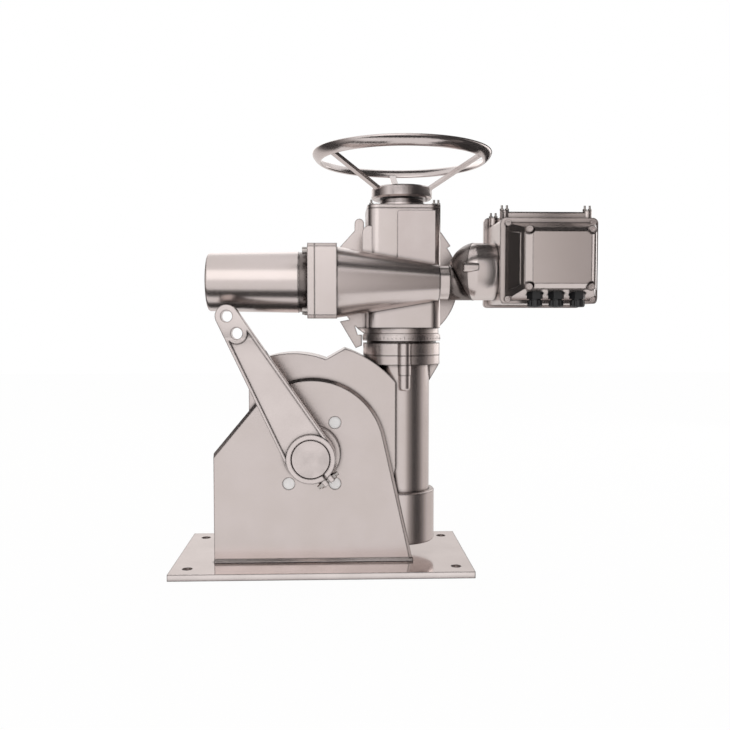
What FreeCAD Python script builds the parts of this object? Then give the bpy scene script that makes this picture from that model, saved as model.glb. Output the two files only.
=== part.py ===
import FreeCAD, Part
import math
import os
from FreeCAD import Vector

# Quarter-turn electric actuator on a foot bracket, with an output lever.
# Millimetres. Origin: centre of the foot's bolt pattern, on the underside of the foot.
# X runs along the motor, from motor to control box. Y points to the back, away from the lever. Z is up.

# Foot
foot_length = 550.0
foot_width = 288.0
foot_thick = 12.0
foot_hole_r = 9.0
foot_hole_pitch_x = 490.0
foot_hole_pitch_y = 218.0

# Output shaft and the two stand plates that carry the gearbox
shaft_x = -20.0
shaft_z = 216.0
shaft_r = 35.0
shaft_front_y = -143.0
stand_thick = 12.0
stand_arc_r = 140.0
stand_left_x = -202.0
stand_right_x = 169.0
stand_hole_dx = 43.0
stand_hole_dz = 57.0
stand_hole_r = 11.0
weld_leg = 6.0

# Gearbox case between the stand plates
case_half = 58.0
case_wall = 16.0
case_left_x = -137.0
case_bottom_wall = 17.0
case_right_inset = 3.0
case_lobe_r = 204.0
case_screw_length = 24.0
case_screw_sink = 8.0
gasket_thick = 1.0
front_boss_r = 53.0
front_boss_length = 18.0
rear_boss_r = 50.0
rear_boss_length = 14.0
bush_outer_r = 42.0
seal_length = 8.0

# Worm and sector wheel of the gearbox
worm_module = 6.0
sector_teeth = 44
worm_pitch_r = 40.0
sector_low_deg = -104.0
sector_high_deg = 14.0
sector_half_face = 26.0
sector_hub_r = 55.0
worm_turns = 7
worm_journal_r = 20.0
worm_bore_r = 48.0
sector_room_gap = 5.0
tube_r = 54.0
tube_bottom_z = 54.0
tube_flange_r = 74.0
tube_flange_thick = 17.5
lobe_gap = 2.0
cap_r = 64.0
cap_low_z = 39.0
cap_high_z = 137.0
cap_floor = 12.0

# Lever
lever_inner_hole = 258.0
lever_outer_hole = 293.0
lever_hole_r = 10.0
lever_deg = 120.0
lever_hub_r = 44.0
lever_tip_r = 20.5
lever_hub_back_y = -92.0
lever_front_y = -141.0
lever_thick = 22.0
lever_rib = 5.0
lever_pocket = 4.0
clamp_deg = -52.0
clamp_slit = 4.0

# Adapter between gearbox and drive unit
adapter_height = 23.0
index_lift = 4.5
index_height = 13.0
spacer_height = 11.1
index_r = 75.0
spacer_r = 72.0
adapter_boss_r = 12.0
adapter_boss_y = 71.0
adapter_boss_drop = 18.5
adapter_bolt_drop = 47.5

# Drive unit housing
housing_half_x = 68.0
housing_half_y = 75.0
housing_corner_r = 20.0
housing_height = 220.4
top_cover_thick = 7.0
motor_rise = 83.4
fin_thick = 16.0
drum_r = 118.0
drum_front_y = 14.0
drum_back_y = 62.0
drum_cover_thick = 10.0
name_width = 72.0
name_height = 97.0
name_thick = 2.5
sleeve_r = 32.0
sleeve_bearing_r = 46.0
wheel_room_r = 62.0

# Second worm stage, from motor to drive sleeve
drive_module = 4.0
drive_teeth = 28
drive_worm_r = 24.0
drive_half_face = 14.0
drive_turns = 6
rotor_shaft_r = 9.0

# Motor and its tapered drive housing
motor_left_x = -206.0
motor_end_r = 52.6
motor_root_r = 55.6
motor_root_x = -41.5
motor_neck_r = 54.2
motor_wall = 5.0
motor_bearing_r = 18.0
motor_bearing_wide = 12.0
stator_length = 96.0
stator_inset = 40.0
stator_bore_r = 29.5
rotor_r = 28.7
motor_flange_x = -25.0
flange_joint_x = -12.0
cone_start_x = 27.0
cone_end_x = 213.0
flange_half = 66.0
flange_chamfer = 6.0
cone_big_r = 65.0
cone_small_r = 33.3
neck_end_x = 232.0
neck_r = 30.5

# Control unit
dome_end_x = 277.0
dome_length = 44.0
control_tube_r = 52.4
control_rise = 20.0
control_wall = 6.0
cover_base = 5.0
panel_bevel = 12.0
box_x0 = 316.0
box_x1 = 489.0
box_y0 = -140.0
box_y1 = -20.0
box_height = 149.0
box_below = 60.0
top_ear_inset = 8.0
top_ear_inset_right = 16.5
hood_y = -205.0
cover_y = -218.0
hood_x0 = 343.0
hood_x1 = 463.0
hood_height = 104.4
hood_lift = 23.0
rear_plate_thick = 14.0
gland_y = -180.0
gland_first_x = 368.0
gland_pitch = 37.0
gland_seat_drop = 3.0
gland_hex_height = 13.0
slim_stud_r = 1.9
box_screw_head_r = 5.0
box_screw_head = 5.0
box_screw_r = 3.0
box_screw_length = 20.0
gland_r = 13.0

# Handwheel
rim_r = 163.0
rim_lift = 79.0
rim_long = 11.6
rim_short = 4.5
rim_tilt_deg = 41.0
hub_r = 58.0
hub_gap = 18.0
hub_height = 22.0
spoke_width = 13.0
spoke_thick = 6.0
first_spoke_deg = 92.7
hand_shaft_r = 14.0

# Clearances
running = 0.04
slip = 0.02
part_gap = 0.3
backlash = 1.0

# Places that follow from the sizes above
sector_pitch_r = worm_module * sector_teeth / 2
sector_room_r = sector_pitch_r + worm_module + sector_room_gap
case_bottom_r = sector_room_r + case_bottom_wall
case_right_x = shaft_x + case_bottom_r - case_right_inset
worm_x = shaft_x + sector_pitch_r + worm_pitch_r
lobe_rise = math.sqrt(case_lobe_r ** 2 - (worm_x - tube_flange_r - shaft_x) ** 2)
tube_top_z = round(shaft_z + lobe_rise + lobe_gap)
tube_flange_low_z = tube_top_z - tube_flange_thick
adapter_boss_low_z = tube_flange_low_z - adapter_boss_drop
adapter_bolt_low_z = tube_flange_low_z - adapter_bolt_drop
adapter_top_z = tube_top_z + adapter_height
index_low_z = adapter_top_z + index_lift
index_high_z = index_low_z + index_height
spacer_top_z = index_high_z + spacer_height
motor_z = spacer_top_z + motor_rise
housing_top_z = spacer_top_z + housing_height
control_z = motor_z + control_rise
box_z0 = control_z - box_below
box_z1 = box_z0 + box_height
hood_z0 = box_z0 + hood_lift
hood_z1 = hood_z0 + hood_height
gland_seat_z = hood_z0 - gland_seat_drop
gland_hex_z = gland_seat_z - gland_hex_height
hub_low_z = housing_top_z + top_cover_thick + hub_gap
hub_high_z = hub_low_z + hub_height
rim_z = hub_low_z + rim_lift
drive_pitch_r = drive_module * drive_teeth / 2
motor_y = -(drive_pitch_r + drive_worm_r)
stand_front_y = -case_half - stand_thick
stand_back_y = case_half + stand_thick
cavity_half = case_half - case_wall
gasket_y = cavity_half
cover_front_y = gasket_y + gasket_thick


def box(x0, x1, y0, y1, z0, z1):
    return Part.makeBox(x1 - x0, y1 - y0, z1 - z0, Vector(x0, y0, z0))


def place(axis, a, u, v):
    """Point at a along the axis, with the other two coordinates u and v in X, Y, Z order."""
    return {"X": Vector(a, u, v), "Y": Vector(u, a, v), "Z": Vector(u, v, a)}[axis]


def direction(axis):
    return {"X": Vector(1, 0, 0), "Y": Vector(0, 1, 0), "Z": Vector(0, 0, 1)}[axis]


def cyl(axis, r, a, b, u, v):
    return Part.makeCylinder(r, b - a, place(axis, a, u, v), direction(axis))


def cone(axis, ra, rb, a, b, u, v):
    return Part.makeCone(ra, rb, b - a, place(axis, a, u, v), direction(axis))


def ring(axis, outer, inner, a, b, u, v):
    return cyl(axis, outer, a, b, u, v).cut(cyl(axis, inner, a - 1, b + 1, u, v))


def join(shapes):
    return shapes[0].multiFuse(shapes[1:]).removeSplitter()


def cut_all(shape, tools):
    for tool in tools:
        shape = shape.cut(tool)
    return shape


def polar(r, deg, u=0.0, v=0.0):
    return (u + r * math.cos(math.radians(deg)), v + r * math.sin(math.radians(deg)))


def plate_from(edges, y0, y1):
    """Extrude a closed outline drawn in the XZ plane from y0 to y1."""
    face = Part.Face(Part.Wire(edges))
    face.translate(Vector(0, y0, 0))
    return face.extrude(Vector(0, y1 - y0, 0))


def xz(x, z):
    return Vector(x, 0, z)


def line(p, q):
    return Part.LineSegment(p, q).toShape()


def arc(p, q, r):
    return Part.Arc(p, q, r).toShape()


def round_edges(shape, radius, axis):
    """Fillet the straight edges that run along one axis."""
    d = direction(axis)
    picked = []
    for edge in shape.Edges:
        if edge.Curve.TypeId != "Part::GeomLine":
            continue
        run = edge.Vertexes[1].Point.sub(edge.Vertexes[0].Point)
        if run.Length > 1e-6 and abs(abs(run.normalize().dot(d)) - 1) < 1e-6:
            picked.append(edge)
    return shape.makeFillet(radius, picked)


def hex_prism(across_flats, a, b, axis, u, v):
    r = across_flats / math.sqrt(3)
    points = [place(axis, a, *polar(r, 60 * i, u, v)) for i in range(7)]
    face = Part.Face(Part.makePolygon(points))
    return face.extrude(direction(axis) * (b - a))


def cap_screw(axis, r_head, r_shank, seat, head, depth, u, v, sign):
    """Socket screw: head stands head mm off the seat along sign, shank goes depth mm the other way."""
    head_end = seat + sign * head
    shank_end = seat - sign * depth
    socket_end = head_end - sign * head * 0.6
    body = cyl(axis, r_head, min(seat, head_end), max(seat, head_end), u, v)
    shank = cyl(axis, r_shank, min(seat, shank_end), max(seat, shank_end), u, v)
    low, high = sorted((socket_end, head_end + sign))
    socket = hex_prism(r_head, low, high, axis, u, v)
    return join([body, shank]).cut(socket)


def tangent_point(px, pz, r, side):
    """Point where a line from (px, pz) touches the circle of radius r about the output shaft."""
    dx = px - shaft_x
    dz = pz - shaft_z
    base = math.degrees(math.atan2(dz, dx))
    spread = math.degrees(math.acos(r / math.hypot(dx, dz)))
    return xz(*polar(r, base + side * spread, shaft_x, shaft_z))


def stand_outline():
    left_low = xz(stand_left_x, foot_thick)
    left_high = xz(stand_left_x, shaft_z)
    right_low = xz(stand_right_x, foot_thick)
    left_touch = tangent_point(stand_left_x, shaft_z, stand_arc_r, -1)
    right_touch = tangent_point(stand_right_x, foot_thick, stand_arc_r, 1)
    top = xz(shaft_x, shaft_z + stand_arc_r)
    return [line(left_low, left_high), line(left_high, left_touch), arc(left_touch, top, right_touch),
            line(right_touch, right_low), line(right_low, left_low)]


def case_outline():
    """Left wall, domed top, shoulder up to the lobe over the sector, then round under the shaft."""
    dome_left = xz(case_left_x + 25, shaft_z + 176)
    dome_top = xz(shaft_x - 30, shaft_z + 185.5)
    notch = xz(shaft_x + 26.5, shaft_z + 174)
    lobe_start = xz(*polar(case_lobe_r, 72.2, shaft_x, shaft_z))
    reach = case_right_x - shaft_x
    lobe_end_deg = math.degrees(math.acos(reach / case_lobe_r))
    lobe_mid = xz(*polar(case_lobe_r, (72.2 + lobe_end_deg) / 2, shaft_x, shaft_z))
    lobe_end = xz(*polar(case_lobe_r, lobe_end_deg, shaft_x, shaft_z))
    low_right = xz(case_right_x, shaft_z - math.sqrt(case_bottom_r ** 2 - reach ** 2))
    left_reach = shaft_x - case_left_x
    low_left = xz(case_left_x, shaft_z - math.sqrt(case_bottom_r ** 2 - left_reach ** 2))
    bottom = xz(shaft_x, shaft_z - case_bottom_r)
    left_high = xz(case_left_x, shaft_z + 156)
    return [line(low_left, left_high), line(left_high, dome_left), arc(dome_left, dome_top, notch),
            line(notch, lobe_start), arc(lobe_start, lobe_mid, lobe_end), line(lobe_end, low_right),
            arc(low_right, bottom, low_left)]


def corner_holes(r, y0, y1):
    """Four holes in a rectangle about the output shaft."""
    found = []
    for sx in (-1, 1):
        for sz in (-1, 1):
            found.append(cyl("Y", r, y0, y1, shaft_x + sx * stand_hole_dx, shaft_z + sz * stand_hole_dz))
    return found


def foot_and_stand():
    foot = box(-foot_length / 2, foot_length / 2, -foot_width / 2, foot_width / 2, 0, foot_thick)
    for sx in (-1, 1):
        for sy in (-1, 1):
            foot = foot.cut(cyl("Z", foot_hole_r, -1, foot_thick + 1, sx * foot_hole_pitch_x / 2,
                                sy * foot_hole_pitch_y / 2))
    front = plate_from(stand_outline(), stand_front_y, -case_half)
    arc_edges = [e for e in front.Edges if e.Curve.TypeId == "Part::GeomCircle"
                 and abs(e.Vertexes[0].Point.y - stand_front_y) < 1e-6]
    front = front.makeChamfer(stand_thick * 0.45, arc_edges)
    front = front.cut(cyl("Y", front_boss_r + slip, stand_front_y - 1, -case_half + 1, shaft_x, shaft_z))
    front = cut_all(front, corner_holes(stand_hole_r, stand_front_y - 1, -case_half + 1))
    back = plate_from(stand_outline(), case_half, stand_back_y)
    back = back.cut(cyl("Y", rear_boss_r + slip, case_half - 1, stand_back_y + 1, shaft_x, shaft_z))
    back = cut_all(back, corner_holes(stand_hole_r, case_half - 1, stand_back_y + 1))
    cap_relief = cyl("Z", cap_r + part_gap, cap_low_z - 1, cap_high_z + 1, worm_x, 0)
    plates = []
    for plate, y, sign in ((front, stand_front_y, -1), (back, stand_back_y, 1)):
        profile = Part.makePolygon([Vector(stand_left_x, y, foot_thick), Vector(stand_left_x, y, foot_thick + weld_leg),
                                    Vector(stand_left_x, y + sign * weld_leg, foot_thick),
                                    Vector(stand_left_x, y, foot_thick)])
        bead = Part.Face(profile).extrude(Vector(stand_right_x - stand_left_x, 0, 0))
        plates.append(join([plate.cut(cap_relief), bead]))
    plugs = []
    for sx in (-1, 1):
        for sz in (-1, 1):
            x = shaft_x + sx * stand_hole_dx
            z = shaft_z + sz * stand_hole_dz
            plugs.append(cyl("Y", stand_hole_r - slip, stand_front_y + 1.5, -case_half, x, z))
    return {"foot_plate": foot, "stand_front_plate": plates[0], "stand_rear_plate": plates[1],
            "hole_plugs": Part.makeCompound(plugs)}


def stand_bolts():
    """Four hexagon bolts through the rear plate into the case cover."""
    bolts = []
    for sx in (-1, 1):
        for sz in (-1, 1):
            x = shaft_x + sx * stand_hole_dx
            z = shaft_z + sz * stand_hole_dz
            washer = cyl("Y", 18, stand_back_y, stand_back_y + 3, x, z)
            head = hex_prism(30, stand_back_y + 3, stand_back_y + 15, "Y", x, z)
            shank = cyl("Y", 10, stand_back_y - stand_thick - 12, stand_back_y + 3, x, z)
            bolts.append(join([washer, head, shank]))
    return Part.makeCompound(bolts)


def cover_screw_places():
    """Screw places round the case cover, inside its outline and clear of the sector room."""
    left = case_left_x + 14
    places = [(left, shaft_z - 70), (left, shaft_z), (left, shaft_z + 75), (left, shaft_z + 145),
              (shaft_x - 45, shaft_z + 165), (shaft_x + 10, shaft_z + 160)]
    for deg in (66, 53):
        places.append(polar(case_lobe_r - 12, deg, shaft_x, shaft_z))
    for deg in (-55, -90, -122):
        places.append(polar(case_bottom_r - 8, deg, shaft_x, shaft_z))
    return places


def gear_case():
    outline = case_outline()
    room = cyl("Y", sector_room_r, -cavity_half, cavity_half, shaft_x, shaft_z)
    room = room.common(box(shaft_x - sector_hub_r - 7, case_right_x + 60, -cavity_half, cavity_half, 0, 500))
    cap_room = cyl("Z", cap_r + part_gap, 0, cap_high_z + part_gap, worm_x, 0)
    body = plate_from(outline, -case_half, gasket_y).cut(cap_room)
    tube = cyl("Z", tube_r, tube_bottom_z, tube_flange_low_z + 1, worm_x, 0)
    flange = cyl("Z", tube_flange_r, tube_flange_low_z, tube_top_z, worm_x, 0)
    boss = cyl("Y", front_boss_r, -case_half - stand_thick - front_boss_length, -case_half + 1, shaft_x, shaft_z)
    rib = Part.makePolygon([Vector(worm_x + tube_r - 3, -4, tube_flange_low_z + 1),
                            Vector(worm_x + tube_flange_r - 2, -4, tube_flange_low_z + 1),
                            Vector(worm_x + tube_flange_r - 2, -4, tube_flange_low_z - 3),
                            Vector(worm_x + tube_r - 3, -4, tube_flange_low_z - 38),
                            Vector(worm_x + tube_r - 3, -4, tube_flange_low_z + 1)])
    ears = [cyl("Z", adapter_boss_r, tube_flange_low_z, tube_top_z, worm_x, sign * adapter_boss_y) for sign in (-1, 1)]
    body = join([body, tube, flange, boss, Part.Face(rib).extrude(Vector(0, 8, 0))] + ears)
    body = body.cut(room)
    body = body.cut(cyl("Z", worm_bore_r, tube_bottom_z - 1, tube_top_z + 1, worm_x, 0))
    body = body.cut(cyl("Y", bush_outer_r, -200, -cavity_half + 1, shaft_x, shaft_z))
    cover = plate_from(outline, cover_front_y, case_half).cut(cap_room)
    gasket = plate_from(outline, gasket_y, cover_front_y).cut(cap_room)
    clear_tube = cyl("Z", tube_r + part_gap, 0, 500, worm_x, 0)
    clear_flange = cyl("Z", tube_flange_r + part_gap, tube_flange_low_z - part_gap, 500, worm_x, 0)
    rear_boss = cyl("Y", rear_boss_r, case_half - 1, stand_back_y + rear_boss_length, shaft_x, shaft_z)
    cover = cut_all(cover, [clear_tube, clear_flange])
    gasket_hole = cyl("Y", sector_room_r, gasket_y - 1, cover_front_y + 1, shaft_x, shaft_z)
    gasket_hole = gasket_hole.common(box(shaft_x - sector_hub_r - 7, 300, gasket_y - 1, cover_front_y + 1, 0, 500))
    gasket = cut_all(gasket, [clear_tube, clear_flange, gasket_hole])
    cover = join([cover, rear_boss])
    cover = cover.cut(cyl("Y", bush_outer_r, cover_front_y - 1, stand_back_y + 4, shaft_x, shaft_z))
    cover = cut_all(cover, corner_holes(10 + slip, case_half - 12, case_half + 1))
    screws = []
    seat = case_half - case_screw_sink
    for x, z in cover_screw_places():
        screw = cap_screw("Y", 7, 4.5, seat, case_screw_sink - 0.5, case_screw_length, x, z, 1)
        cover = cut_all(cover, [cyl("Y", 7 + part_gap, seat, case_half + 1, x, z),
                                cyl("Y", 4.5 + slip, cover_front_y - 1, case_half, x, z)])
        gasket = gasket.cut(cyl("Y", 4.5 + slip, gasket_y - 1, cover_front_y + 1, x, z))
        body = body.cut(cyl("Y", 4.5 + slip, seat - case_screw_length - 1, gasket_y + 1, x, z))
        screws.append(screw)
    return {"gear_case": body, "case_gasket": gasket, "case_cover": cover,
            "case_cover_screws": Part.makeCompound(screws), "stand_bolts": stand_bolts()}


def thread(pitch, pitch_r, addendum, dedendum, turns, width):
    """Trapezoid thread round +Z, its middle starting at +X and z = 0."""
    slope = math.tan(math.radians(20))
    bottom_r = pitch_r - dedendum - 0.8
    tip_r = pitch_r + addendum
    wide = width / 2 + (pitch_r - bottom_r) * slope
    thin = width / 2 - addendum * slope
    helix = Part.makeHelix(pitch, pitch * turns, pitch_r)
    profile = Part.makePolygon([Vector(bottom_r, 0, -wide), Vector(tip_r, 0, -thin),
                                Vector(tip_r, 0, thin), Vector(bottom_r, 0, wide), Vector(bottom_r, 0, -wide)])
    return Part.Wire(helix).makePipeShell([profile], True, True)


def gap_cutter(pitch_r, pitch, addendum, dedendum, half_face, lean_deg):
    """Trapezoid cutter for one tooth gap at +X, running along Z and leaning by the lead angle."""
    slope = math.tan(math.radians(20))
    width = pitch / 2 + backlash
    out = pitch_r + addendum + 2
    low = pitch_r - dedendum
    wide = width / 2 + (out - pitch_r) * slope
    thin = width / 2 - (pitch_r - low) * slope
    reach = half_face + 6
    profile = Part.makePolygon([Vector(low, -thin, -reach), Vector(out, -wide, -reach),
                                Vector(out, wide, -reach), Vector(low, thin, -reach), Vector(low, -thin, -reach)])
    cutter = Part.Face(profile).extrude(Vector(0, 0, 2 * reach))
    cutter.rotate(Vector(0, 0, 0), Vector(1, 0, 0), -lean_deg)
    return cutter


def lead_deg(module, pitch_r):
    return math.degrees(math.atan(module / 2 / pitch_r))


def sector_wheel():
    """Toothed sector, built round Z and then turned so that its axis lies along Y."""
    tip_r = sector_pitch_r + worm_module
    rim_in = sector_pitch_r - 1.25 * worm_module - 12
    span = sector_high_deg - sector_low_deg
    rim = Part.makeCylinder(tip_r, 2 * sector_half_face, Vector(0, 0, -sector_half_face), Vector(0, 0, 1), span)
    rim = rim.cut(cyl("Z", rim_in, -100, 100, 0, 0))
    web = Part.makeCylinder(rim_in + 2, 28, Vector(0, 0, -14), Vector(0, 0, 1), span)
    web = web.cut(cyl("Z", shaft_r + 8, -100, 100, 0, 0))
    for part in (rim, web):
        part.rotate(Vector(0, 0, 0), Vector(0, 0, 1), -sector_high_deg)
    pitch = math.pi * worm_module
    cutter = gap_cutter(sector_pitch_r, pitch, worm_module, 1.25 * worm_module, sector_half_face,
                        lead_deg(worm_module, worm_pitch_r))
    step = 360.0 / sector_teeth
    first = -int(sector_high_deg / step) - 1
    last = int(-sector_low_deg / step) + 1
    cutters = []
    for i in range(first, last + 1):
        tool = cutter.copy()
        tool.rotate(Vector(0, 0, 0), Vector(0, 0, 1), i * step)
        cutters.append(tool)
    rim = rim.cut(Part.makeCompound(cutters))
    hub = cyl("Z", sector_hub_r, -cavity_half + 1, cavity_half - 1, 0, 0)
    wheel = join([hub, web, rim]).cut(cyl("Z", shaft_r + slip, -100, 100, 0, 0))
    wheel.rotate(Vector(0, 0, 0), Vector(1, 0, 0), -90)
    wheel.translate(Vector(shaft_x, 0, shaft_z))
    return wheel


def output_stage():
    key_half = 9.0
    key_in = shaft_r - 7.5
    key_out = shaft_r + 4.9
    rear_end = stand_back_y + 2
    sector = sector_wheel()
    shaft = cyl("Y", shaft_r, shaft_front_y, rear_end, shaft_x, shaft_z)
    rims = [e for e in shaft.Edges if e.Curve.TypeId == "Part::GeomCircle"]
    shaft = shaft.makeChamfer(2, rims)
    sector_key = box(shaft_x + key_in, shaft_x + key_out, -30, 30, shaft_z - key_half, shaft_z + key_half)
    lever_key = box(shaft_x + key_in, shaft_x + key_out, lever_front_y + 15, lever_hub_back_y - 3,
                    shaft_z - key_half, shaft_z + key_half)
    sector_slot = box(shaft_x, shaft_x + key_out, -cavity_half, cavity_half, shaft_z - key_half, shaft_z + key_half)
    lever_slot = box(shaft_x, shaft_x + key_out, lever_front_y + 15, lever_hub_back_y + 1,
                     shaft_z - key_half, shaft_z + key_half)
    shaft = shaft.cut(sector_key).cut(lever_key)
    sector = sector.cut(sector_slot)
    front = -case_half - stand_thick - front_boss_length
    bushes = [ring("Y", bush_outer_r, shaft_r + running, front + seal_length + 2, -cavity_half, shaft_x, shaft_z),
              ring("Y", bush_outer_r, shaft_r + running, cover_front_y, stand_back_y - 2, shaft_x, shaft_z)]
    seal = ring("Y", bush_outer_r, shaft_r + running, front, front + seal_length, shaft_x, shaft_z)
    pieces = {"worm_sector": sector, "output_shaft": shaft,
              "shaft_keys": Part.makeCompound([sector_key, lever_key]),
              "shaft_bushes": Part.makeCompound(bushes), "shaft_seal": seal}
    pieces.update(lever(lever_slot))
    return pieces


def lever(key_slot):
    """Arm drawn pointing along +X from the hub in the XZ plane, then turned to its rest angle."""
    back = lever_front_y + lever_thick

    def tapered(r_hub, r_tip, start, end, y0, y1):
        lean = math.asin((r_hub - r_tip) / (end - start))
        cosine = math.cos(lean)
        sine = math.sin(lean)
        a = xz(start + r_hub * sine, r_hub * cosine)
        b = xz(end + r_tip * sine, r_tip * cosine)
        c = xz(end + r_tip * sine, -r_tip * cosine)
        d = xz(start + r_hub * sine, -r_hub * cosine)
        edges = [line(a, b), arc(b, xz(end + r_tip, 0), c), line(c, d), arc(d, xz(start - r_hub, 0), a)]
        return plate_from(edges, y0, y1)

    arm = tapered(lever_hub_r, lever_tip_r, 0.0, lever_outer_hole, lever_front_y, back)
    pocket = tapered(lever_hub_r - lever_rib, lever_tip_r - lever_rib + 1, 0.0, lever_outer_hole - 20,
                     lever_front_y - 1, lever_front_y + lever_pocket)
    pad_r = lever_tip_r - 2
    pad = tapered(pad_r + 0.01, pad_r, lever_inner_hole, lever_outer_hole, lever_front_y, back)
    hub = cyl("Y", lever_hub_r, shaft_front_y, lever_hub_back_y, 0, 0)
    arm = join([arm.cut(pocket), pad, hub])
    slit_deg = clamp_deg - lever_deg
    slit = box(shaft_r - 5, lever_hub_r + 40, -200, 0, -clamp_slit / 2, clamp_slit / 2)
    lugs = []
    for sign in (-1, 1):
        z0, z1 = sorted((sign * clamp_slit / 2, sign * (clamp_slit / 2 + 9)))
        lug = box(lever_hub_r - 6, lever_hub_r + 12, shaft_front_y + 3, shaft_front_y + 25, z0, z1)
        lugs.append(lug)
    bolt_x = lever_hub_r + 6
    bolt_y = shaft_front_y + 14
    bolt_hole = cyl("Z", 4 + slip, -30, 30, bolt_x, bolt_y)
    bolt = join([cyl("Z", 4, -22, 22, bolt_x, bolt_y),
                 hex_prism(11, clamp_slit / 2 + 9, clamp_slit / 2 + 14, "Z", bolt_x, bolt_y)])
    nut = hex_prism(11, -clamp_slit / 2 - 15, -clamp_slit / 2 - 9, "Z", bolt_x, bolt_y)
    nut = nut.cut(cyl("Z", 4 + slip, -30, 30, bolt_x, bolt_y))
    hardware = [bolt, nut]
    clamp_parts = lugs + [slit, bolt_hole] + hardware
    for shape in clamp_parts:
        shape.rotate(Vector(0, 0, 0), Vector(0, 1, 0), -slit_deg)
    arm = join([arm] + lugs)
    arm = cut_all(arm, [slit, bolt_hole])
    for along in (lever_inner_hole, lever_outer_hole):
        arm = arm.cut(cyl("Y", lever_hole_r, lever_front_y - 1, back + 1, along, 0))
    arm = arm.cut(cyl("Y", shaft_r + slip, -200, 0, 0, 0))
    for shape in [arm] + hardware:
        shape.rotate(Vector(0, 0, 0), Vector(0, 1, 0), -lever_deg)
        shape.translate(Vector(shaft_x, 0, shaft_z))
    return {"output_lever": arm.cut(key_slot), "lever_clamp_bolt": bolt, "lever_clamp_nut": nut}


def worm_stage():
    pitch = math.pi * worm_module
    root_r = worm_pitch_r - 1.25 * worm_module
    start = shaft_z - pitch * worm_turns / 2
    coil = thread(pitch, worm_pitch_r, worm_module, 1.25 * worm_module, worm_turns, pitch / 2 - backlash)
    coil.translate(Vector(worm_x, 0, start))
    low = cap_low_z + cap_floor + 4
    body = cyl("Z", root_r, start - pitch / 2 - 4, start + pitch * (worm_turns + 0.5) + 4, worm_x, 0)
    stem = cyl("Z", worm_journal_r, low, spacer_top_z + 25, worm_x, 0)
    worm = join([body, stem]).fuse(coil)
    bearings = []
    for z in (tube_bottom_z + 8, tube_top_z - 45):
        middle = (worm_journal_r + worm_bore_r) / 2
        bearings.append(ring("Z", worm_bore_r, middle + 5, z, z + 20, worm_x, 0))
        bearings.append(ring("Z", middle - 5, worm_journal_r + running, z, z + 20, worm_x, 0))
        for i in range(10):
            x, y = polar(middle, 36 * i, worm_x, 0)
            ball = Part.makeSphere(5.0 - slip, Vector(x, y, z + 10))
            bearings.append(ball)
    cap = cyl("Z", cap_r, cap_low_z, cap_high_z, worm_x, 0)
    rims = [e for e in cap.Edges if e.Curve.TypeId == "Part::GeomCircle"]
    cap = cap.makeChamfer(2, rims)
    cap = cap.cut(cyl("Z", tube_r + slip, cap_low_z + cap_floor, cap_high_z + 1, worm_x, 0))
    relief = cyl("Y", sector_room_r, -cavity_half, cavity_half, shaft_x, shaft_z)
    cap = cap.cut(relief)
    spigot = ring("Z", worm_bore_r - 0.2, worm_journal_r + 6, cap_low_z + cap_floor, tube_bottom_z + 8, worm_x, 0)
    cap = join([cap, spigot])
    return {"worm_shaft": worm, "worm_bearings": Part.makeCompound(bearings), "worm_tube_cap": cap}


def adapter():
    bore_r = worm_bore_r
    body = cyl("Z", tube_flange_r, tube_top_z, adapter_top_z, worm_x, 0)
    collar = cyl("Z", index_r - 8, adapter_top_z, index_low_z, worm_x, 0)
    bosses = []
    bolts = []
    for sign in (-1, 1):
        y = sign * adapter_boss_y
        bosses.append(cyl("Z", adapter_boss_r, tube_top_z, adapter_top_z, worm_x, y))
        stud = cyl("Z", adapter_boss_r, adapter_boss_low_z, tube_flange_low_z, worm_x, y)
        end = cyl("Z", adapter_boss_r - 0.8, adapter_bolt_low_z, adapter_boss_low_z, worm_x, y)
        tips = [e for e in end.Edges if e.Curve.TypeId == "Part::GeomCircle"
                and abs(e.Vertexes[0].Point.z - adapter_bolt_low_z) < 1e-6]
        end = end.makeFillet(6, tips)
        stud = stud.cut(cyl("Z", tube_r + part_gap, 0, 500, worm_x, 0))
        end = end.cut(cyl("Z", tube_r + part_gap, 0, 500, worm_x, 0))
        bolts.append(join([stud, end]))
    body = join([body, collar] + bosses)
    body = body.cut(cyl("Z", bore_r, tube_top_z - 1, index_low_z + 1, worm_x, 0))
    index = ring("Z", index_r, bore_r, index_low_z, index_high_z, worm_x, 0)
    groove = ring("Z", index_r + 1, index_r - 1.5, index_high_z - 2, index_high_z + 1, worm_x, 0)
    index = index.cut(groove)
    spacer = ring("Z", spacer_r, bore_r, index_high_z, spacer_top_z, worm_x, 0)
    return {"adapter_flange": body, "adapter_studs": Part.makeCompound(bolts),
            "index_ring": index, "spacer_ring": spacer}


def drive_cone(grow=0.0):
    return cone("X", cone_big_r + grow, cone_small_r + grow, cone_start_x, cone_end_x, motor_y, motor_z)


def flange_block(x0, x1):
    block = box(x0, x1, motor_y - flange_half, motor_y + flange_half, motor_z - flange_half, motor_z + flange_half)
    picked = []
    for edge in block.Edges:
        run = edge.Vertexes[1].Point.sub(edge.Vertexes[0].Point).normalize()
        if abs(abs(run.x) - 1) < 1e-6:
            picked.append(edge)
    return block.makeChamfer(flange_chamfer, picked)


def slim_stud(x, y, seat):
    """Stud that stands out of a cover, with a thin nut."""
    stud = cyl("Z", slim_stud_r, seat - 15, seat + 9, x, y)
    nut = hex_prism(slim_stud_r * 3.4, seat, seat + 3, "Z", x, y)
    return join([stud, nut])


def fin(points):
    """Flat web of the casting, flush with the drum's front face."""
    corners = [xz(x, z) for x, z in points]
    edges = [line(a, b) for a, b in zip(corners, corners[1:] + corners[:1])]
    return plate_from(edges, drum_front_y, drum_front_y + fin_thick)


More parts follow.
